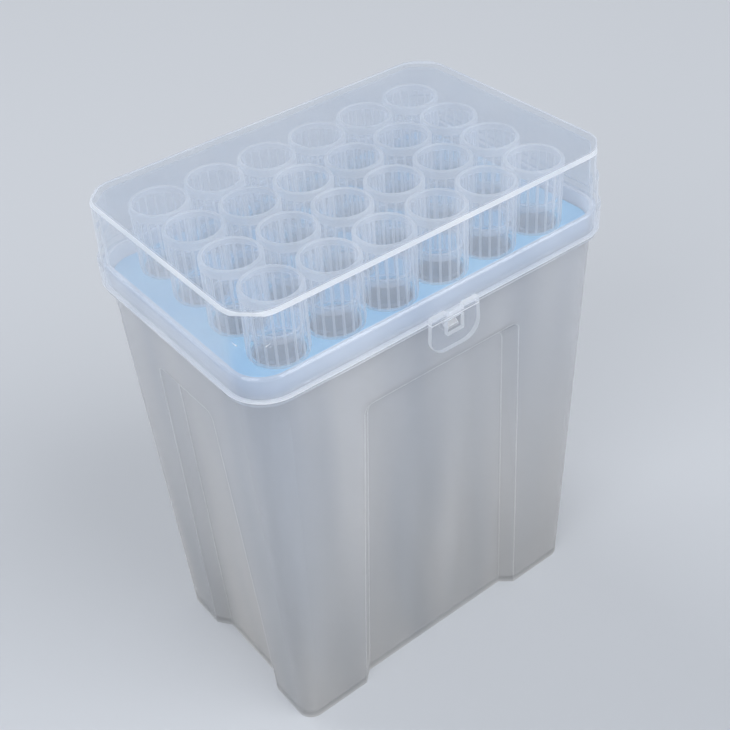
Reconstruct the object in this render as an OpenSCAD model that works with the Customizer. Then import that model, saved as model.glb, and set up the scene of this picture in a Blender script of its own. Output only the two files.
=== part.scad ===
// Box of 24 large pipette tips: a tall tapered base, a tray that holds the tips by their
// collars, and a clear lid that hinges at the back and latches at the front.
// Millimetres. X runs along the front, Y to the hinge, Z up from the bench.

/* [Tips] */
// Distance between neighbouring tips, both ways
pitch = 18; // [15:0.5:22]
// Gap between neighbouring collars
collar_gap = 0.8; // [0.6:0.1:3]
// Height of a collar above the tray
collar_h = 20.6; // [16:0.2:26]
// Length of a tip from its mouth to its point
tip_l = 155.4; // [120:0.2:190]
// Width of the foot that rests on the tray
foot_w = 1.75; // [1.4:0.05:2.2]
// Wall of the tip below the tray
tip_wall = 0.9; // [0.7:0.05:1.2]
// Outside diameter at the point
point_d = 3.0; // [2.6:0.1:4]
// Length of the slender end below the body
nose_l = 54; // [45:1:70]
// How far the body narrows all round on its way down to the slender end
body_taper = 1.6; // [1.2:0.05:2]
// Plain lip above the ribs
lip_h = 2.4; // [1.5:0.1:5]
// Ribs around a collar
rib_count = 20; // [12:1:24]
// Width of a rib
rib_w = 0.7; // [0.6:0.1:1.4]
// How far a rib stands out
rib_h = 0.4; // [0.2:0.05:0.5]
// Height of the sealing ring above the tray
seal_z = 7.6; // [4:0.2:12]

/* [Base] */
// Narrowest gap between the outer tips and the panels at the two ends
wall_gap_x = 3.5; // [2.1:0.1:10.6]
// Narrowest gap between the outer tips and the panels at the front and back
wall_gap_y = 0.35; // [0.3:0.05:8.6]
// Corner radius of the lid's skirt, which sets every other corner
corner_r = 12; // [11:0.5:14]
// Wall of the base
base_wall = 1.7; // [1.3:0.1:2.2]
// Floor of the base
floor_t = 2; // [1.5:0.1:3]
// Slope of the base's walls
draft = 1.9; // [1:0.1:2.2]
// Space between the tips' points and the floor
point_gap = 4; // [3:0.5:12]
// Depth of the four recessed panels
panel_d = 3.4; // [2:0.1:3.8]
// Width of a long side's panel at its top
panel_x = 57; // [44:1:62]
// Width of a short side's panel at its top
panel_y = 28; // [20:1:32]
// How far each side of a panel spreads on the way down
panel_flare = 5.3; // [2:0.1:6]
// From the flange down to the top of the panels
panel_drop = 17.5; // [12:0.5:40]
// Thickness of the flange below the skirt
flange_t = 1; // [0.8:0.1:1.6]

/* [Tray] */
// Thickness of the tray's plate
plate_t = 2; // [1.6:0.1:2.6]
// Depth of the tray at its edge
tray_h = 3.2; // [2.8:0.1:5]
// Gap all round the tray
tray_gap = 0.3; // [0.2:0.05:0.6]
// Gap between a tip's body and its hole
hole_gap = 0.35; // [0.2:0.05:0.6]
// From the base's rim down to the tray's top
tray_drop = 4; // [3:0.1:7]

/* [Lid] */
// Wall of the lid above its step
lid_wall = 1.5; // [1.2:0.1:1.8]
// Wall of the lid's skirt
skirt_wall = 1.3; // [1.1:0.1:1.6]
// Height of the skirt
skirt_h = 8; // [7:0.5:12]
// How far the wall stands in from the skirt
step_in = 0.9; // [0.7:0.05:1.2]
// How far the wall leans in towards the top
lid_lean = 0.5; // [0.3:0.1:1]
// Gap between the tips' mouths and the lid
headroom = 2.1; // [1.5:0.1:12]
// Gap between the closed lid and the base
lid_gap = 0.3; // [0.2:0.05:0.5]
// Rounding of the lid's top edge
edge_r = 1.2; // [0.8:0.1:1.4]
// Width of the flat on each top corner
flat_w = 8.6; // [6:0.2:9.4]
// Height of the flat on each top corner
flat_h = 10; // [6:0.5:14]

/* [Latch] */
// Width of the latch tab
tab_w = 17.4; // [14:0.2:24]
// How far the tab hangs below the skirt
tab_drop = 10.4; // [9:0.2:14]
// Thickness of the tab
tab_t = 1.4; // [1.1:0.1:1.8]
// Radius of the tab's lower corners
tab_r = 5.5; // [3:0.5:6]
// Width of the window in the tab
window_w = 5.8; // [5:0.2:8]
// Height of the window in the tab
window_h = 5; // [4.6:0.1:6]
// Gap between the catch and the tab's back
catch_gap = 0.3; // [0.2:0.05:0.5]

/* [Hinge] */
// From the middle of the box to each hinge
hinge_x = 32; // [24:1:38]
// Width of each clip on the lid
clip_w = 8; // [6:0.5:12]
// Radius of the hinge pins
pin_r = 1.5; // [1.2:0.1:1.8]
// Gap between a pin and its clip
pin_gap = 0.1; // [0.05:0.01:0.15]
// Wall of a clip around its pin
clip_wall = 1.4; // [1.2:0.1:1.8]
// Thickness of the ears that carry a pin
ear_t = 2; // [1.5:0.1:3]

/* [Hidden] */
$fn = 96;
columns = 6;
rows = 4;
eps = 0.01;
axis_step = 0.05;

// Tip radii, from the outside in
collar_r = (pitch - collar_gap) / 2;
body_r = collar_r - foot_w;
waist_r = body_r - body_taper;
point_r = point_d / 2;
tube_r = collar_r - rib_h;
mouth_r = tube_r - 0.65;
seal_r = body_r - 0.45;
orifice_r = point_r - 0.55;

// Heights from the bench
point_z = floor_t + point_gap;
tray_z = point_z + tip_l - collar_h;
rim_z = tray_z + tray_drop;
ledge_z = tray_z - tray_h;
step_z = rim_z + lid_gap + lid_wall;
skirt_z = step_z - skirt_h;
flange_z = skirt_z - 0.5 - flange_t;
mouth_z = tray_z + collar_h;
top_z = mouth_z + headroom + lid_wall;

// Radii about the corner axes
skirt_in = corner_r - skirt_wall;
rim_r = skirt_in - lid_gap;
pocket_r = rim_r - 1.5;
wall_top_r = rim_r - 0.9;
wall_bottom_r = wall_top_r - flange_z * tan(draft);
lid_r = corner_r - step_in;
lid_top_r = lid_r - lid_lean;

function to_step(length) = round(length / axis_step) * axis_step;

// Corner axes, shared by the base, the tray and the lid. The walls lean in faster than the
// tips' bodies do, so the gap is narrowest at the lower end of the bodies. The axes are kept to
// whole steps, so that the round corners meet the straight walls exactly.
waist_wall_r = wall_top_r - (flange_z - point_z - nose_l) * tan(draft);
panel_back = waist_r + base_wall + panel_d - waist_wall_r;
axis_x = to_step((columns - 1) / 2 * pitch + panel_back + wall_gap_x);
axis_y = to_step((rows - 1) / 2 * pitch + panel_back + wall_gap_y);

// Latch, measured forward from the middle of the box
skirt_front = axis_y + corner_r;
tab_back = skirt_front + 0.35;
window_z = skirt_z - tab_drop + 4.8;
catch_z = window_z + 0.3;

// Hinge axis behind the skirt and just below it
hinge_r = pin_r + pin_gap + clip_wall;
hinge_y = skirt_front + hinge_r - 0.15;
hinge_z = skirt_z - pin_r;

// Points of an arc about c, from angle a to angle b
function arc(c, r, a, b, n = 4) = [
    for (i = [0:n]) c + r * [cos(a + (b - a) * i / n), sin(a + (b - a) * i / n)]
];

// A profile of [radius, height] points mirrored about a middle that lies off it
function section(off, profile) = concat(
    [for (p = profile) [off + p.x, p.y]],
    [for (i = [len(profile) - 1:-1:0]) [-off - profile[i].x, profile[i].y]]
);

// A rounded box whose walls follow one profile all the way round
module swept_box(profile) {
    axis_line = [[0, profile[len(profile) - 1].y], [0, profile[0].y]];
    for (sx = [-1, 1], sy = [-1, 1])
        translate([sx * axis_x, sy * axis_y, 0])
            rotate_extrude()
                polygon(concat(profile, axis_line));
    rotate([90, 0, 90])
        linear_extrude(height = 2 * axis_x, center = true)
            polygon(section(axis_y, profile));
    rotate([90, 0, 0])
        linear_extrude(height = 2 * axis_y, center = true)
            polygon(section(axis_x, profile));
}

// One recessed panel, as a solid that leans with the wall. It stands on the XZ plane at
// the wall's foot, and its sides slope in by as much as they reach inward along Y.
module panel(top_w, sunk = 0, grow = 0) {
    out = 2;
    round_r = 3;
    depth = panel_d + out;
    half = top_w / 2 + grow + out;
    high = flange_z - panel_drop + grow + out;
    shrink = [(half - depth) / half, (high - depth) / high];
    rotate([90 + draft, 0, 0])
        translate([0, 0, -panel_d - sunk])
            linear_extrude(height = depth, scale = [1 / shrink.x, 1 / shrink.y], slices = 1, $fn = 4)
                scale(shrink)
                    offset(r = round_r, $fn = 24)
                        polygon([
                            [-half + round_r, high - round_r],
                            [half - round_r, high - round_r],
                            [half - round_r + panel_flare, -10],
                            [-half + round_r - panel_flare, -10],
                        ]);
}

// The four panels round the base
module panels(sunk = 0, grow = 0) {
    for (side = [0, 180])
        rotate([0, 0, side])
            translate([0, -axis_y - wall_bottom_r, 0])
                panel(panel_x, sunk, grow);
    for (side = [90, 270])
        rotate([0, 0, side])
            translate([0, -axis_x - wall_bottom_r, 0])
                panel(panel_y, sunk, grow);
}

// Ears and pins for the lid's two clips
module hinge_ears() {
    ear_x = clip_w / 2 + 0.4;
    ear_r = pin_r + 0.9;
    root_y = axis_y + wall_top_r - 0.4;
    for (side = [-1, 1])
        translate([side * hinge_x, 0, 0]) {
            for (ear = [-1, 1])
                translate([ear * (ear_x + ear_t / 2), 0, 0])
                    rotate([90, 0, 90])
                        linear_extrude(height = ear_t, center = true)
                            polygon(concat(
                                [[root_y, hinge_z - 9], [root_y, hinge_z + ear_r / 2]],
                                arc([hinge_y, hinge_z], ear_r, 30, -50, 8)
                            ));
            translate([0, hinge_y, hinge_z])
                rotate([0, 90, 0])
                    cylinder(r = pin_r, h = 2 * ear_x + ear_t, center = true);
        }
}

// Catch that stops just behind the window of the latch tab, clear of it by catch_gap
module catch() {
    reach = tab_back - catch_gap;
    root = axis_y + wall_top_r - 1.2;
    rotate([90, 0, -90])
        linear_extrude(height = window_w - 1.2, center = true)
            polygon([
                [root, catch_z],
                [reach - 0.3, catch_z],
                [reach, catch_z + 0.3],
                [reach, catch_z + 1],
                [root, catch_z + 4],
            ]);
}

module base() {
    color("gainsboro", 0.7) {
        difference() {
            swept_box([
                [wall_bottom_r, 0],
                [wall_top_r, flange_z],
                [corner_r - 0.6, flange_z],
                [corner_r - 0.6, flange_z + flange_t],
                [rim_r, flange_z + flange_t],
                [rim_r, rim_z - 0.4],
                [rim_r - 0.4, rim_z],
            ]);
            panels();
            difference() {
                swept_box([
                    [wall_bottom_r - base_wall + floor_t * tan(draft), floor_t],
                    [wall_top_r - base_wall, ledge_z],
                ]);
                panels(sunk = base_wall, grow = 0.41 * base_wall);
            }
            swept_box([[pocket_r, ledge_z - eps], [pocket_r, rim_z + 1]]);
        }
        hinge_ears();
        catch();
    }
}

module tray() {
    tray_r = pocket_r - tray_gap;
    color("lightskyblue")
        difference() {
            swept_box(concat(
                [[tray_r - 0.3, ledge_z]],
                arc([tray_r - 1, tray_z - 1], 1, 0, 90)
            ));
            swept_box([[tray_r - 2, ledge_z - 1], [tray_r - 1.6, tray_z - plate_t]]);
            for (c = [0:columns - 1], r = [0:rows - 1])
                tip_place(r, c)
                    translate([0, 0, -plate_t - 1])
                        cylinder(r = body_r + hole_gap, h = plate_t + 2);
        }
}

// Flats on the lid's top corners, as solids that reach outward from one radius
module corner_flats(from_r, width, height, round_r) {
    for (sx = [-1, 1], sy = [-1, 1])
        translate([sx * axis_x, sy * axis_y, top_z])
            rotate([90, 0, atan2(sy, sx) + 90])
                translate([0, 0, from_r]) {
                    translate([-width / 2, -height + round_r, 0])
                        cube([width, height, 6]);
                    translate([-width / 2 + round_r, -height, 0])
                        cube([width - 2 * round_r, height, 6]);
                    for (s = [-1, 1])
                        translate([s * (width / 2 - round_r), -height + round_r, 0])
                            cylinder(r = round_r, h = 6);
                }
}

// Tab that hangs from the front of the skirt, with shoulders and a window for the catch
module latch_tab() {
    shoulder = 2.2;
    top = skirt_z + shoulder;
    low = skirt_z - tab_drop;
    half = tab_w / 2;
    shoulder_w = half - window_w / 2 - 0.4;
    shoulder_t = 2 * (tab_back - skirt_front + skirt_wall / 2);
    translate([0, -tab_back, 0])
        rotate([90, 0, 0])
            linear_extrude(height = tab_t)
                difference() {
                    polygon(concat(
                        [[half - 0.4, top], [-half + 0.4, top]],
                        arc([-half + tab_r, low + tab_r], tab_r, 180, 270, 8),
                        arc([half - tab_r, low + tab_r], tab_r, 270, 360, 8)
                    ));
                    translate([-window_w / 2, window_z])
                        square([window_w, window_h]);
                    translate([-window_w / 2, window_z + window_h + 1.3])
                        square([window_w, 4]);
                }
    for (s = [-1, 1])
        translate([s * (half + window_w / 2 - 0.4) / 2, -tab_back - eps, skirt_z + shoulder / 2])
            cube([shoulder_w, shoulder_t, shoulder], center = true);
}

// Clips that snap over the base's pins
module hinge_clips() {
    for (side = [-1, 1])
        translate([side * hinge_x, hinge_y, hinge_z])
            rotate([90, 0, 90])
                linear_extrude(height = clip_w, center = true)
                    difference() {
                        union() {
                            circle(r = hinge_r);
                            translate([-hinge_r + 0.15 - skirt_wall / 2, pin_r])
                                square([hinge_r + skirt_wall / 2, 3]);
                        }
                        circle(r = pin_r + pin_gap);
                        translate([0, -hinge_r - 1])
                            square([2 * pin_r - 0.5, 2 * hinge_r], center = true);
                    }
}

module lid() {
    color("aliceblue", 0.35) {
        difference() {
            swept_box(concat(
                [[corner_r, skirt_z], [corner_r, step_z - 0.5], [corner_r - 0.4, step_z], [lid_r, step_z]],
                arc([lid_top_r - edge_r, top_z - edge_r], edge_r, 0, 90)
            ));
            corner_flats(sqrt(pow(lid_top_r, 2) - pow(flat_w / 2, 2)), flat_w + 2, flat_h, 2.8);
            difference() {
                swept_box([
                    [skirt_in, skirt_z - 1],
                    [skirt_in, step_z - lid_wall],
                    [lid_r - lid_wall, step_z - lid_wall],
                    [lid_top_r - lid_wall, top_z - lid_wall - 0.5],
                    [lid_top_r - lid_wall - 0.5, top_z - lid_wall],
                ]);
                corner_flats(
                    sqrt(pow(lid_top_r, 2) - pow(flat_w / 2, 2)) - lid_wall,
                    flat_w + 3, flat_h + lid_wall, 2.8
                );
            }
        }
        latch_tab();
        hinge_clips();
    }
}

// A place on the tray: row 0 is at the front and column 0 at the left
module tip_place(row, column) {
    x = (column - (columns - 1) / 2) * pitch;
    y = (row - (rows - 1) / 2) * pitch;
    translate([x, y, tray_z])
        children();
}

module tip(row, column) {
    nose_z = collar_h - tip_l + nose_l;
    color("azure", 0.6)
        tip_place(row, column) {
            rotate_extrude()
                polygon([
                    [orifice_r, collar_h - tip_l],
                    [point_r, collar_h - tip_l],
                    [waist_r, nose_z],
                    [body_r, 0],
                    [collar_r - 0.25, 0],
                    [collar_r - 0.25, 0.8],
                    [tube_r, 0.8],
                    [tube_r, collar_h - lip_h],
                    [collar_r, collar_h - lip_h],
                    [collar_r, collar_h - 0.3],
                    [collar_r - 0.3, collar_h],
                    [mouth_r, collar_h],
                    [mouth_r - 0.25, seal_z + 1.4],
                    [seal_r, seal_z + 1.3],
                    [seal_r, seal_z],
                    [seal_r + 0.1, seal_z - 0.1],
                    [body_r - tip_wall, 0],
                    [waist_r - tip_wall, nose_z],
                ]);
            for (i = [0:rib_count - 1])
                rotate([0, 0, 360 * i / rib_count])
                    translate([tube_r - 0.3, -rib_w / 2, 0.4])
                        cube([rib_h + 0.2, rib_w, collar_h - lip_h]);
        }
}

base();
tray();
lid();
tip(0, 0);  // tip_a1
tip(0, 1);  // tip_a2
tip(0, 2);  // tip_a3
tip(0, 3);  // tip_a4
tip(0, 4);  // tip_a5
tip(0, 5);  // tip_a6
tip(1, 0);  // tip_b1
tip(1, 1);  // tip_b2
tip(1, 2);  // tip_b3
tip(1, 3);  // tip_b4
tip(1, 4);  // tip_b5
tip(1, 5);  // tip_b6
tip(2, 0);  // tip_c1
tip(2, 1);  // tip_c2
tip(2, 2);  // tip_c3
tip(2, 3);  // tip_c4
tip(2, 4);  // tip_c5
tip(2, 5);  // tip_c6
tip(3, 0);  // tip_d1
tip(3, 1);  // tip_d2
tip(3, 2);  // tip_d3
tip(3, 3);  // tip_d4
tip(3, 4);  // tip_d5
tip(3, 5);  // tip_d6
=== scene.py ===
import math

import bpy
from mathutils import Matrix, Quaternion, Vector


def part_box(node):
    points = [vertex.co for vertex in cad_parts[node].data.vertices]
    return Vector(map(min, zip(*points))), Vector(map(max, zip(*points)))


bl_info = {
    "name": "Box of pipette tips",
    "version": (1, 0, 0),
    "blender": (4, 5, 0),
    "location": "View3D > Sidebar > Tip box",
    "description": "Polypropylene finishes, lamps and camera for a hinged box of pipette tips",
    "category": "Object",
}

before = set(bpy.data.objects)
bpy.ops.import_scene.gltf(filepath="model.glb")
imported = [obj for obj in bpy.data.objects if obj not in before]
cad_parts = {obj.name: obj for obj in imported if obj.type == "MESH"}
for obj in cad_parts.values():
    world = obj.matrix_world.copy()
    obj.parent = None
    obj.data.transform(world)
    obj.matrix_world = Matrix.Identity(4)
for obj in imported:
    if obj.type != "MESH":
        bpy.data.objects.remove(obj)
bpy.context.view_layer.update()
MM = 0.001

# Polypropylene's refractive index, and what its smooth surface mirrors squarely and at a glance
INDEX = 1.49
MIRROR_SQUARE, MIRROR_GLANCE = 0.04, 0.9
# Height over which the lid's skirt covers the base's rim
SKIRT = 6.2 * MM
# Least share of milk that the base's edge and foot masks come down to
BASE_MILK = 0.22


# ---- helpers ----------------------------------------------------------------


def linear(hex_colour):
    """An sRGB hex colour such as "#cfe3f7" as linear RGBA."""
    channels = [int(hex_colour[i : i + 2], 16) / 255 for i in (1, 3, 5)]
    return [c / 12.92 if c <= 0.04045 else ((c + 0.055) / 1.055) ** 2.4 for c in channels] + [1.0]


def add(tree, kind, settings=None, links=None):
    """Adds one node. Settings name its attributes or inputs, and links name an input and the
    socket that feeds it."""
    node = tree.nodes.new(kind)
    for key, value in (settings or {}).items():
        if isinstance(key, int) or key in node.inputs:
            node.inputs[key].default_value = value
        else:
            setattr(node, key, value)
    for key, socket in (links or {}).items():
        tree.links.new(socket, node.inputs[key])
    return node


def empty_material(name):
    """A material with nodes and only its output."""
    material = bpy.data.materials.new(name)
    material.use_nodes = True
    material.node_tree.nodes.clear()
    return material, material.node_tree, add(material.node_tree, "ShaderNodeOutputMaterial")


def dress(names, material):
    """Gives CAD nodes a material."""
    for name in names:
        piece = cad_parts[name]
        piece.data.materials.clear()
        piece.data.materials.append(material)


def skin(tree, grain_mm, grain_depth_mm, flow_mm):
    """The mould's grain as a bumped normal, and the slow marks of the melt, drawn out along the
    height. A real mould's grain is too fine to show, so each wall has it as coarse as it needs."""
    drawn_out = 0.18
    place = add(tree, "ShaderNodeTexCoord").outputs["Object"]
    grain = add(
        tree,
        "ShaderNodeTexNoise",
        {"Scale": 1 / (grain_mm * MM), "Detail": 1.0, "Roughness": 0.6},
        {"Vector": place},
    )
    bump = add(
        tree,
        "ShaderNodeBump",
        {"Strength": 0.5, "Distance": grain_depth_mm * MM},
        {"Height": grain.outputs["Fac"]},
    )
    stretched = add(
        tree, "ShaderNodeMapping", {"Scale": (1.0, 1.0, drawn_out)}, {"Vector": place}
    )
    flow = add(
        tree,
        "ShaderNodeTexNoise",
        {"Scale": 1 / (flow_mm * MM), "Detail": 1.0, "Roughness": 0.5},
        {"Vector": stretched.outputs["Vector"]},
    )
    return bump.outputs["Normal"], flow.outputs["Fac"]


def two_tone(tree, fac, deep, pale):
    """Colour between two close tones, over the middle of a noise's range."""
    ramp = add(tree, "ShaderNodeValToRGB", links={"Fac": fac})
    ramp.color_ramp.elements[0].position = 0.3
    ramp.color_ramp.elements[0].color = linear(deep)
    ramp.color_ramp.elements[1].position = 0.7
    ramp.color_ramp.elements[1].color = linear(pale)
    return ramp.outputs["Color"]


def clear_wall(
    tree, thick, pale, deep, glass, roughness, veil, edge, grain_mm, grain_depth_mm, flow_mm
):
    """A thin clear wall. Veil is the share of light that its haze scatters where it is looked at
    squarely, and edge is that share where it is looked at along the wall, through more plastic.
    Thick, if there is one, is the least share, and rises where the wall is thicker or ends. Glass
    is the faint tint of what is seen through one face."""
    normal, flow = skin(tree, grain_mm, grain_depth_mm, flow_mm)
    colour = two_tone(tree, flow, deep, pale)
    layer = add(tree, "ShaderNodeLayerWeight", {"Blend": 0.5}, {"Normal": normal})
    facing = layer.outputs["Facing"]
    # The haze rises late, only where the wall is seen nearly along itself
    slope = add(tree, "ShaderNodeMath", {"operation": "POWER", 1: 3.5}, {0: facing})
    thin = add(
        tree,
        "ShaderNodeMapRange",
        {"To Min": veil, "To Max": edge},
        {"Value": slope.outputs["Value"]},
    )
    haze = thin.outputs["Result"]
    if thick:
        more = add(tree, "ShaderNodeMath", {"operation": "MAXIMUM"}, {0: haze, 1: thick})
        haze = more.outputs["Value"]
    # What a smooth surface mirrors goes with the fifth power of its slope
    glance = add(tree, "ShaderNodeMath", {"operation": "POWER", 1: 5.0}, {0: facing})
    mirror = add(
        tree,
        "ShaderNodeMapRange",
        {"To Min": MIRROR_SQUARE, "To Max": MIRROR_GLANCE},
        {"Value": glance.outputs["Value"]},
    )
    rough = add(
        tree,
        "ShaderNodeMapRange",
        {"To Min": roughness * 0.7, "To Max": roughness * 1.3},
        {"Value": flow},
    )
    through = add(tree, "ShaderNodeBsdfTransparent", {"Color": linear(glass)})
    shine = add(
        tree,
        "ShaderNodeBsdfGlossy",
        {"Color": (1, 1, 1, 1)},
        {"Roughness": rough.outputs["Result"], "Normal": normal},
    )
    clear = add(
        tree,
        "ShaderNodeMixShader",
        links={0: mirror.outputs["Result"], 1: through.outputs["BSDF"], 2: shine.outputs["BSDF"]},
    )
    return mist(tree, haze, clear.outputs["Shader"], colour, normal, passes=0.5)


def mist(tree, share, under, colour, normal, passes):
    """Mixes a share of soft scattering over the surface under it. Passes is how much of it goes on
    through the wall."""
    front = add(tree, "ShaderNodeBsdfDiffuse", links={"Color": colour, "Normal": normal})
    back = add(tree, "ShaderNodeBsdfTranslucent", links={"Color": colour, "Normal": normal})
    milk = add(
        tree,
        "ShaderNodeMixShader",
        {0: passes},
        {1: front.outputs["BSDF"], 2: back.outputs["BSDF"]},
    )
    surface = add(
        tree, "ShaderNodeMixShader", links={0: share, 1: under, 2: milk.outputs["Shader"]}
    )
    return surface.outputs["Shader"]


def pass_lamps(tree, surface, share):
    """Lets a share of lamp light through each face, in place of the bent light of a real wall."""
    shadow = add(tree, "ShaderNodeLightPath").outputs["Is Shadow Ray"]
    through = add(tree, "ShaderNodeBsdfTransparent", {"Color": (share, share, share, 1.0)})
    both = add(
        tree, "ShaderNodeMixShader", links={0: shadow, 1: surface, 2: through.outputs["BSDF"]}
    )
    return both.outputs["Shader"]


def steps(tree, value, low, high, stops):
    """A value that runs from stop to stop. Each stop is a place between low and high and the value
    there."""
    scaled = add(
        tree, "ShaderNodeMapRange", {"From Min": low, "From Max": high}, {"Value": value}
    )
    ramp = add(tree, "ShaderNodeValToRGB", links={"Fac": scaled.outputs["Result"]})
    while len(ramp.color_ramp.elements) < len(stops):
        ramp.color_ramp.elements.new(0.5)
    for element, (place, level) in zip(ramp.color_ramp.elements, stops):
        element.position = (place - low) / (high - low)
        element.color = (level, level, level, 1.0)
    return ramp.outputs["Color"]


def milky_wall(
    tree, pale, deep, roughness, clear, milky, grain_mm, grain_depth_mm, flow_mm, shades=()
):
    """A wall that blurs what is behind it. Clear is the share of light that it passes, and milky
    the share that goes in and scatters under its skin. Each shade is a mask and the tone laid over
    the colour there. Returns the wall's surface, colour and normal."""
    normal, flow = skin(tree, grain_mm, grain_depth_mm, flow_mm)
    colour = two_tone(tree, flow, deep, pale)
    for mask, tone in shades:
        tinted = add(
            tree,
            "ShaderNodeMix",
            {"data_type": "RGBA", "blend_type": "MULTIPLY", 7: linear(tone)},
            {0: mask, 6: colour},
        )
        colour = tinted.outputs[2]
    rough = add(
        tree,
        "ShaderNodeMapRange",
        {"To Min": roughness * 0.85, "To Max": roughness * 1.15},
        {"Value": flow},
    )
    body = add(
        tree,
        "ShaderNodeBsdfPrincipled",
        {
            "IOR": INDEX,
            "Transmission Weight": clear,
            "Subsurface Weight": milky,
            "Subsurface Radius": (1.0, 1.0, 1.1),
            "Subsurface Scale": 2.0 * MM,
        },
        {"Base Color": colour, "Roughness": rough.outputs["Result"], "Normal": normal},
    )
    return body.outputs["BSDF"], colour, normal


# ---- properties -------------------------------------------------------------


class TipBoxFinish(bpy.types.PropertyGroup):
    """Colours of the four plastics, and the base's clarity."""

    base_pale: bpy.props.StringProperty(
        name="Base, pale",
        description="Frosted wall where it is palest, as sRGB hex",
        default="#f4f6fa",
    )
    base_deep: bpy.props.StringProperty(
        name="Base, deep",
        description="Frosted wall where it is greyest, as sRGB hex",
        default="#dfe4ec",
    )
    # Painted light: this tone warms the foot, away from the cool tint that stands in for the blue
    # tray's light showing through the wall
    base_foot_past_painted_tray_light: bpy.props.StringProperty(
        name="Base, foot",
        description="Tone that the wall takes on towards its foot, as sRGB hex",
        default="#eeebe6",
    )
    base_clear: bpy.props.FloatProperty(
        name="Base clarity",
        description="Share of light that the frosted wall passes",
        default=0.84,
        subtype="FACTOR",
    )
    tray_pale: bpy.props.StringProperty(
        name="Tray, pale",
        description="Light blue plate at its palest, as sRGB hex",
        default="#b1d8f1",
    )
    tray_deep: bpy.props.StringProperty(
        name="Tray, deep",
        description="Light blue plate at its deepest, as sRGB hex",
        default="#9ecbec",
    )
    lid_pale: bpy.props.StringProperty(
        name="Lid, pale",
        description="Haze of the clear lid at its palest, as sRGB hex",
        default="#f7f9fc",
    )
    lid_deep: bpy.props.StringProperty(
        name="Lid, deep",
        description="Haze of the clear lid at its deepest, as sRGB hex",
        default="#e9eef5",
    )
    tip_pale: bpy.props.StringProperty(
        name="Tips, pale",
        description="Haze of the tips at its palest, as sRGB hex",
        default="#f7f8fb",
    )
    tip_deep: bpy.props.StringProperty(
        name="Tips, deep",
        description="Haze of the tips at its deepest, as sRGB hex",
        default="#e7ebf1",
    )


class TipBoxStage(bpy.types.PropertyGroup):
    """Where the camera stands and how bright the lamps are."""

    azimuth: bpy.props.FloatProperty(
        name="Azimuth",
        description="Camera's turn round the box, 0 at the front",
        default=math.radians(-35.7),
        subtype="ANGLE",
    )
    elevation: bpy.props.FloatProperty(
        name="Elevation",
        description="Camera's height above the horizon",
        default=math.radians(38.6),
        subtype="ANGLE",
    )
    roll: bpy.props.FloatProperty(
        name="Roll",
        description="Camera's turn about its own line of sight",
        default=math.radians(-4.15),
        subtype="ANGLE",
    )
    distance: bpy.props.FloatProperty(
        name="Distance",
        description="From the camera to the point it is aimed at",
        default=0.3005,
        unit="LENGTH",
    )
    aim: bpy.props.FloatVectorProperty(
        name="Aim",
        description="Point that the camera is turned about",
        default=(-0.0333, -0.0479, 0.1416),
        subtype="XYZ",
    )
    lens: bpy.props.FloatProperty(
        name="Lens",
        description="Focal length on a 36 mm sensor",
        default=59.36,
        unit="CAMERA",
    )
    key_power: bpy.props.FloatProperty(
        name="Key lamp",
        description="Power of the large soft lamp, in watts",
        default=42.0,
        unit="POWER",
    )
    fill_power: bpy.props.FloatProperty(
        name="Fill lamp",
        description="Power of the lamp on the other side, in watts",
        default=24.0,
        unit="POWER",
    )
    back_power: bpy.props.FloatProperty(
        name="Back lamp",
        description="Power of the lamp behind, in watts",
        default=28.0,
        unit="POWER",
    )
    floor_tint: bpy.props.StringProperty(
        name="Floor",
        description="Pale floor's colour, as sRGB hex",
        default="#c5c9cf",
    )


# ---- pieces -----------------------------------------------------------------


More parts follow.
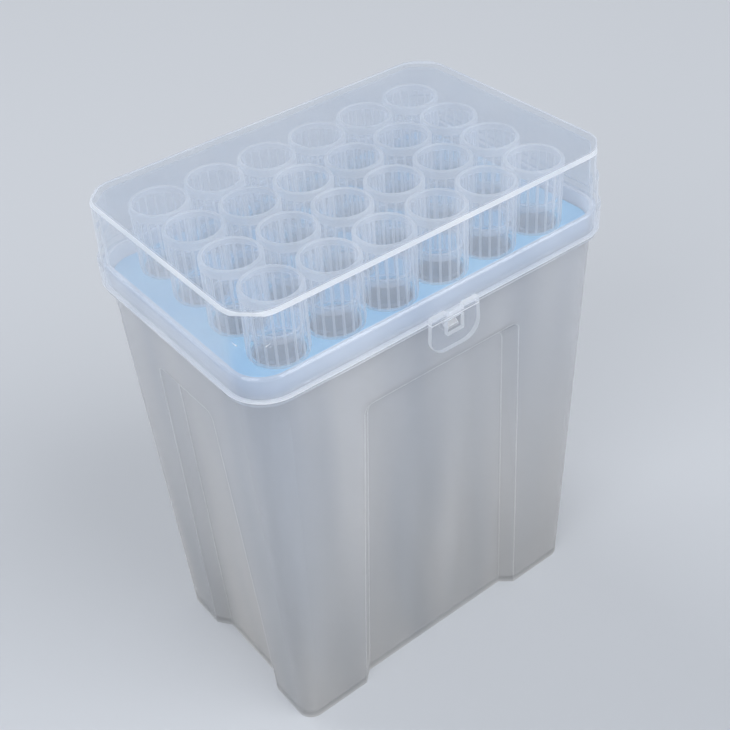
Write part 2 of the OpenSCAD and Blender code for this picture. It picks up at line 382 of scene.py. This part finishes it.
class TipBoxBase(bpy.types.Operator):
    """Frosted base"""

    bl_idname = "tipbox.base"
    bl_label = "Base"

    def execute(self, context):
        look = context.scene.tip_box_finish
        # Natural polypropylene from a spark-eroded mould: milky, and it blurs what is behind it
        material, tree, output = empty_material("natural_polypropylene_frosted")
        rim_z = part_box("base")[1].z
        place = add(tree, "ShaderNodeTexCoord").outputs["Object"]
        height = add(tree, "ShaderNodeSeparateXYZ", links={"Vector": place}).outputs["Z"]
        # Painted light: the wall is cool under the tray, a tint that stands in for the blue tray's
        # light showing through it, and warmer and a little darker towards the foot
        low = steps(tree, height, 0.0, rim_z, ((0.0, 1), (0.9 * rim_z, 0)))
        body, colour, normal = milky_wall(
            tree,
            look.base_pale,
            look.base_deep,
            roughness=0.25,
            clear=look.base_clear,
            milky=0.0,
            grain_mm=0.5,
            grain_depth_mm=0.012,
            flow_mm=22.0,
            shades=((low, look.base_foot_past_painted_tray_light),),
        )
        # The rim that the lid covers is polished, so the tray shows faintly through it
        rim = clear_wall(
            tree,
            None,
            look.base_pale,
            look.base_deep,
            glass="#fbfcff",
            roughness=0.15,
            veil=0.58,
            edge=0.7,
            grain_mm=2.0,
            grain_depth_mm=0.01,
            flow_mm=22.0,
        )
        above = steps(
            tree,
            height,
            rim_z - 8 * MM,
            rim_z,
            ((rim_z - SKIRT - 0.3 * MM, 0), (rim_z - SKIRT, 1)),
        )
        whole = add(tree, "ShaderNodeMixShader", links={0: above, 1: body, 2: rim})
        milk = self.edges(tree, height)
        surface = mist(tree, milk, whole.outputs["Shader"], colour, normal, passes=0.3)
        tree.links.new(pass_lamps(tree, surface, share=0.7), output.inputs["Surface"])
        dress(["base"], material)
        return {"FINISHED"}

    def slopes(self, tree):
        """Masks of the sloping sides of the four panels, and of all that lies between the rounded
        corners."""
        own = add(tree, "ShaderNodeTexCoord")
        place, normal = own.outputs["Object"], own.outputs["Normal"]
        # Each mask is a product of x and y. A side's normal leans in plan, as a corner's does, but
        # only a corner is so far out that its product passes this many square metres
        corner = 0.0016
        masks = []
        for vector, low, high, stops in (
            (normal, 0.0, 0.5, ((0.2, 0), (0.35, 1))),
            (place, 0.0, 2.5 * corner, ((corner, 1), (corner + 0.0002, 0))),
        ):
            parts = add(tree, "ShaderNodeSeparateXYZ", links={"Vector": vector})
            product = add(
                tree,
                "ShaderNodeMath",
                {"operation": "MULTIPLY"},
                {0: parts.outputs["X"], 1: parts.outputs["Y"]},
            )
            size = add(
                tree, "ShaderNodeMath", {"operation": "ABSOLUTE"}, {0: product.outputs["Value"]}
            )
            masks.append(steps(tree, size.outputs["Value"], low, high, stops))
        leaning, inside = masks
        sides = add(tree, "ShaderNodeMath", {"operation": "MULTIPLY"}, {0: leaning, 1: inside})
        return sides.outputs["Value"], inside

    def edges(self, tree, height):
        """How milky the wall is: most at its sharp edges and its foot, where it is thickest, and on
        the panels' sides."""
        on_slopes = 0.3
        true = add(tree, "ShaderNodeNewGeometry").outputs["True Normal"]
        bevel = add(tree, "ShaderNodeBevel", {"samples": 4, "Radius": 0.6 * MM})
        # 1 on a flat face, and less within the bevel's radius of an edge
        same = add(
            tree,
            "ShaderNodeVectorMath",
            {"operation": "DOT_PRODUCT"},
            {0: true, 1: bevel.outputs["Normal"]},
        )
        sharp = steps(tree, same.outputs["Value"], 0.8, 1.0, ((0.9, 0.9), (0.975, BASE_MILK)))
        foot = steps(
            tree,
            height,
            0.0,
            6 * MM,
            ((0.5 * MM, 0.8), (1.5 * MM, 0.5), (3.5 * MM, BASE_MILK)),
        )
        slopes, inside = self.slopes(tree)
        slope = add(tree, "ShaderNodeMath", {"operation": "MULTIPLY", 1: on_slopes}, {0: slopes})
        edge = add(tree, "ShaderNodeMath", {"operation": "MULTIPLY"}, {0: sharp, 1: inside})
        share = slope.outputs["Value"]
        for other in (edge.outputs["Value"], foot):
            most = add(tree, "ShaderNodeMath", {"operation": "MAXIMUM"}, {0: share, 1: other})
            share = most.outputs["Value"]
        return share


class TipBoxTray(bpy.types.Operator):
    """Light blue tray"""

    bl_idname = "tipbox.tray"
    bl_label = "Tray"

    def execute(self, context):
        look = context.scene.tip_box_finish
        # Polypropylene with a pale blue pigment: nearly opaque, with a satin skin
        material, tree, output = empty_material("light_blue_polypropylene_satin")
        surface, *_ = milky_wall(
            tree,
            look.tray_pale,
            look.tray_deep,
            roughness=0.34,
            clear=0.05,
            milky=0.45,
            grain_mm=0.6,
            grain_depth_mm=0.015,
            flow_mm=30.0,
        )
        tree.links.new(surface, output.inputs["Surface"])
        dress(["tray"], material)
        return {"FINISHED"}


class TipBoxLid(bpy.types.Operator):
    """Clear lid"""

    bl_idname = "tipbox.lid"
    bl_label = "Lid"

    def execute(self, context):
        look = context.scene.tip_box_finish
        # Clarified polypropylene from a polished mould: glossy and clear, with a faint haze that
        # gathers along its rounded edges
        material, tree, output = empty_material("clarified_polypropylene_gloss")
        surface = clear_wall(
            tree,
            self.edges(tree),
            look.lid_pale,
            look.lid_deep,
            glass="#f6f8fb",
            roughness=0.07,
            veil=0.045,
            edge=0.75,
            grain_mm=6.0,
            grain_depth_mm=0.01,
            flow_mm=18.0,
        )
        tree.links.new(pass_lamps(tree, surface, share=0.93), output.inputs["Surface"])
        dress(["lid"], material)
        return {"FINISHED"}

    def edges(self, tree):
        """Where the lid's wall turns or ends: its top edge, the corner flats, its lower edge and
        the tab."""
        top_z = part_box("lid")[1].z
        skirt_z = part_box("base")[1].z - SKIRT
        # All that is this close to the lid's front is the tab
        tab_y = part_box("lid")[0].y + 1.5 * MM
        own = add(tree, "ShaderNodeTexCoord")
        place, normal = own.outputs["Object"], own.outputs["Normal"]
        facing = add(tree, "ShaderNodeSeparateXYZ", links={"Vector": normal})
        spot = add(tree, "ShaderNodeSeparateXYZ", links={"Vector": place})
        up = add(tree, "ShaderNodeMath", {"operation": "ABSOLUTE"}, {0: facing.outputs["Z"]})
        # The flat top is clear, and the rounding round it is hazy
        not_flat = steps(tree, up.outputs["Value"], 0.9, 1.0, ((0.97, 1), (0.985, 0)))
        high = steps(
            tree,
            spot.outputs["Z"],
            top_z - 3 * MM,
            top_z,
            ((top_z - 1.2 * MM, 0), (top_z - 1.1 * MM, 1)),
        )
        top = add(tree, "ShaderNodeMath", {"operation": "MULTIPLY"}, {0: not_flat, 1: high})
        low = steps(
            tree,
            spot.outputs["Z"],
            skirt_z - 1 * MM,
            skirt_z + 1 * MM,
            (
                (skirt_z - 0.1 * MM, 0),
                (skirt_z, 0.9),
                (skirt_z + 0.35 * MM, 0.9),
                (skirt_z + 0.5 * MM, 0),
            ),
        )
        # On the sides of a corner flat, the normal leans across the corner and not out of it
        turned = add(
            tree, "ShaderNodeVectorMath", {"operation": "MULTIPLY"}, {0: normal, 1: place}
        )
        parts = add(tree, "ShaderNodeSeparateXYZ", links={"Vector": turned.outputs["Vector"]})
        crossed = add(
            tree,
            "ShaderNodeMath",
            {"operation": "MULTIPLY"},
            {0: parts.outputs["X"], 1: parts.outputs["Y"]},
        )
        flats = steps(tree, crossed.outputs["Value"], -0.001, 0.0, ((-0.0002, 1), (-0.0001, 0)))
        # The tab's front is nearly clear, and its sides and its window's sides are hazy
        across = add(tree, "ShaderNodeMath", {"operation": "ABSOLUTE"}, {0: facing.outputs["Y"]})
        sides = steps(tree, across.outputs["Value"], 0.0, 1.0, ((0.3, 0.65), (0.6, 0.12)))
        on_tab = steps(
            tree,
            spot.outputs["Y"],
            tab_y - 2 * MM,
            tab_y + 2 * MM,
            ((tab_y, 1), (tab_y + 0.1 * MM, 0)),
        )
        tab = add(tree, "ShaderNodeMath", {"operation": "MULTIPLY"}, {0: sides, 1: on_tab})
        thick = top.outputs["Value"]
        for other in (low, flats, tab.outputs["Value"]):
            most = add(tree, "ShaderNodeMath", {"operation": "MAXIMUM"}, {0: thick, 1: other})
            thick = most.outputs["Value"]
        return thick


class TipBoxTips(bpy.types.Operator):
    """Twenty-four natural tips"""

    bl_idname = "tipbox.tips"
    bl_label = "Tips"

    def execute(self, context):
        look = context.scene.tip_box_finish
        # Natural polypropylene with thin walls: clear, with white ribs and a white mouth where
        # the plastic is thicker
        material, tree, output = empty_material("natural_polypropylene_thin")
        surface = clear_wall(
            tree,
            self.thicker(tree),
            look.tip_pale,
            look.tip_deep,
            glass="#fdfeff",
            roughness=0.14,
            veil=0.09,
            edge=0.7,
            grain_mm=2.0,
            grain_depth_mm=0.005,
            flow_mm=14.0,
        )
        tree.links.new(pass_lamps(tree, surface, share=0.91), output.inputs["Surface"])
        tips = sorted(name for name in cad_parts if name.startswith("tip_"))
        dress(tips, material)
        return {"FINISHED"}

    def thicker(self, tree):
        """Where a tip is thicker: its ribs, its lip and mouth, its sealing ring and its foot."""
        low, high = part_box("tip_a1")
        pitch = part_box("tip_a2")[0].x - low.x
        collar_r = (high.x - low.x) / 2
        foot_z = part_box("tray")[1].z
        place = add(tree, "ShaderNodeTexCoord").outputs["Object"]
        # Columns and rows stand at odd multiples of half a pitch, so each tip's axis is at 0.5
        vector = place
        for settings in (
            {"operation": "SCALE", "Scale": 1 / pitch},
            {"operation": "FRACTION"},
            {"operation": "SUBTRACT", 1: (0.5, 0.5, 0)},
            {"operation": "MULTIPLY", 1: (pitch, pitch, 0)},
        ):
            vector = add(tree, "ShaderNodeVectorMath", settings, {0: vector}).outputs["Vector"]
        radius = add(tree, "ShaderNodeVectorMath", {"operation": "LENGTH"}, {0: vector})
        rib = steps(
            tree,
            radius.outputs["Value"],
            0.0,
            collar_r,
            ((collar_r - 0.4 * MM, 0), (collar_r - 0.3 * MM, 0.4), (collar_r, 0.5)),
        )
        height = add(tree, "ShaderNodeSeparateXYZ", links={"Vector": place})
        # Millimetres up from the tray, or down from the mouth, and the least haze there
        foot = ((0.8, 0.3), (1.0, 0))
        seal = ((7.4, 0), (7.5, 0.35), (9.0, 0.35), (9.1, 0))
        mouth = ((0.4, 0), (0.3, 0.55))
        stops = [(foot_z + up * MM, level) for up, level in foot + seal]
        stops += [(high.z - down * MM, level) for down, level in mouth]
        rings = steps(tree, height.outputs["Z"], foot_z, high.z, stops)
        both = add(tree, "ShaderNodeMath", {"operation": "MAXIMUM"}, {0: rib, 1: rings})
        return both.outputs["Value"]


class TipBoxSetStage(bpy.types.Operator):
    """Floor, lamps and camera"""

    bl_idname = "tipbox.stage"
    bl_label = "Stage"

    def execute(self, context):
        stage = context.scene.tip_box_stage
        self.floor(context, stage)
        self.lamps(context, stage)
        self.camera(context, stage)
        context.scene.view_settings.view_transform = "Standard"
        # Room for a line of sight through four tips and the lid, each with two walls of two faces,
        # and through one wall of the base
        context.scene.cycles.transparent_max_bounces = 22
        context.scene.cycles.max_bounces = 5
        context.scene.cycles.diffuse_bounces = 2
        context.scene.cycles.glossy_bounces = 2
        return {"FINISHED"}

    def floor(self, context, stage):
        """One sheet that lies flat and sweeps up far behind, so that no horizon shows."""
        # Half the width, where the sweep starts, its top, its radius, and the facets in its curve
        half, far, high, turn, parts = 6.0, 4.0, 3.0, 1.5, 16
        # Distances from the box between which the lit board gives way to its own even colour
        lit_to, even_from = 0.35, 1.2
        line = [(-half, 0.0), (far, 0.0)]
        for i in range(1, parts + 1):
            a = math.pi / 2 * i / parts
            line.append((far + turn * math.sin(a), turn * (1 - math.cos(a))))
        line.append((far + turn, high))
        points = [(x, y, z) for y, z in line for x in (-half, half)]
        faces = [(2 * i, 2 * i + 1, 2 * i + 3, 2 * i + 2) for i in range(len(line) - 1)]
        mesh = bpy.data.meshes.new("floor")
        mesh.from_pydata(points, [], faces)
        mesh.polygons.foreach_set("use_smooth", [True] * len(mesh.polygons))
        sheet = bpy.data.objects.new("floor", mesh)
        context.scene.collection.objects.link(sheet)
        # Matt painted board: even and without gloss, with a grain that is only just there
        material, tree, output = empty_material("matt_painted_board")
        place = add(tree, "ShaderNodeTexCoord").outputs["Object"]
        speck = add(
            tree, "ShaderNodeTexNoise", {"Scale": 300.0, "Detail": 2.0}, {"Vector": place}
        )
        bump = add(
            tree,
            "ShaderNodeBump",
            {"Strength": 0.1, "Distance": 0.1 * MM},
            {"Height": speck.outputs["Fac"]},
        )
        shader = add(
            tree,
            "ShaderNodeBsdfPrincipled",
            {"Base Color": linear(stage.floor_tint), "Roughness": 0.9},
            {"Normal": bump.outputs["Normal"]},
        )
        # Far from the box, sight meets the board's own colour, so that it stays even to the horizon
        away = add(tree, "ShaderNodeVectorMath", {"operation": "LENGTH"}, {0: place})
        far_off = add(
            tree,
            "ShaderNodeMapRange",
            {"interpolation_type": "SMOOTHSTEP", "From Min": lit_to, "From Max": even_from},
            {"Value": away.outputs["Value"]},
        )
        seen = add(tree, "ShaderNodeLightPath").outputs["Is Camera Ray"]
        share = add(
            tree,
            "ShaderNodeMath",
            {"operation": "MULTIPLY"},
            {0: far_off.outputs["Result"], 1: seen},
        )
        even = add(tree, "ShaderNodeEmission", {"Color": linear(stage.floor_tint), "Strength": 1.0})
        surface = add(
            tree,
            "ShaderNodeMixShader",
            links={
                0: share.outputs["Value"],
                1: shader.outputs["BSDF"],
                2: even.outputs["Emission"],
            },
        )
        tree.links.new(surface.outputs["Shader"], output.inputs["Surface"])
        mesh.materials.append(material)

    def lamps(self, context, stage):
        """Three large soft lamps and an even pale surround."""
        middle = Vector((0, 0, 0.09))
        for name, place, power, size in (
            ("key", (0.9, -1.9, 2.1), stage.key_power, 2.0),
            ("fill", (-2.2, -0.8, 1.5), stage.fill_power, 1.6),
            ("back", (-0.7, 2.0, 2.1), stage.back_power, 1.6),
        ):
            data = bpy.data.lights.new(name, "AREA")
            data.energy = power
            data.size = size
            lamp = bpy.data.objects.new(name, data)
            lamp.location = place
            aim = middle - Vector(place)
            lamp.rotation_mode = "QUATERNION"
            lamp.rotation_quaternion = aim.to_track_quat("-Z", "Y")
            context.scene.collection.objects.link(lamp)
        world = bpy.data.worlds.new("surround")
        world.use_nodes = True
        tree = world.node_tree
        tree.nodes.clear()
        surround, strength = linear("#e6e9ee"), 0.55
        light = add(tree, "ShaderNodeBackground", {"Color": surround, "Strength": strength})
        # What the camera and the clear plastic see past the floor's edge is as pale as the floor
        pale = linear(stage.floor_tint)
        sight = add(tree, "ShaderNodeBackground", {"Color": pale, "Strength": 1.0})
        path = add(tree, "ShaderNodeLightPath")
        seen = path.outputs["Is Camera Ray"]
        for ray in ("Is Glossy Ray", "Is Transmission Ray"):
            rays = {0: seen, 1: path.outputs[ray]}
            seen = add(tree, "ShaderNodeMath", {"operation": "MAXIMUM"}, rays).outputs["Value"]
        both = add(
            tree,
            "ShaderNodeMixShader",
            links={0: seen, 1: light.outputs["Background"], 2: sight.outputs["Background"]},
        )
        output = add(tree, "ShaderNodeOutputWorld")
        tree.links.new(both.outputs["Shader"], output.inputs["Surface"])
        context.scene.world = world

    def camera(self, context, stage):
        """A camera turned about the point that it is aimed at."""
        data = bpy.data.cameras.new("camera")
        data.sensor_width = 36.0
        data.lens = stage.lens
        data.clip_start = 0.01
        camera = bpy.data.objects.new("camera", data)
        a, e = stage.azimuth, stage.elevation
        back = Vector((math.sin(a) * math.cos(e), -math.cos(a) * math.cos(e), math.sin(e)))
        camera.location = Vector(stage.aim) + back * stage.distance
        camera.rotation_mode = "QUATERNION"
        level = (-back).to_track_quat("-Z", "Y")
        camera.rotation_quaternion = level @ Quaternion((0, 0, 1), stage.roll)
        context.scene.collection.objects.link(camera)
        context.scene.camera = camera


class TipBoxPanel(bpy.types.Panel):
    """Lists the pieces and the stage."""

    bl_idname = "VIEW3D_PT_tip_box"
    bl_label = "Tip box"
    bl_space_type = "VIEW_3D"
    bl_region_type = "UI"
    bl_category = "Tip box"

    def draw(self, context):
        for operator in OPERATORS:
            self.layout.operator(operator.bl_idname)
        for group in (context.scene.tip_box_finish, context.scene.tip_box_stage):
            for name in group.__annotations__:
                self.layout.prop(group, name)


OPERATORS = (TipBoxBase, TipBoxTray, TipBoxLid, TipBoxTips, TipBoxSetStage)
CLASSES = (TipBoxFinish, TipBoxStage) + OPERATORS + (TipBoxPanel,)


def register():
    for cls in CLASSES:
        bpy.utils.register_class(cls)
    bpy.types.Scene.tip_box_finish = bpy.props.PointerProperty(type=TipBoxFinish)
    bpy.types.Scene.tip_box_stage = bpy.props.PointerProperty(type=TipBoxStage)


def unregister():
    del bpy.types.Scene.tip_box_stage
    del bpy.types.Scene.tip_box_finish
    for cls in reversed(CLASSES):
        bpy.utils.unregister_class(cls)


def main():
    register()
    bpy.ops.tipbox.stage()
    bpy.ops.tipbox.base()
    bpy.ops.tipbox.tray()
    bpy.ops.tipbox.lid()
    bpy.ops.tipbox.tips()
    bpy.context.view_layer.update()


if __name__ == "__main__":
    main()
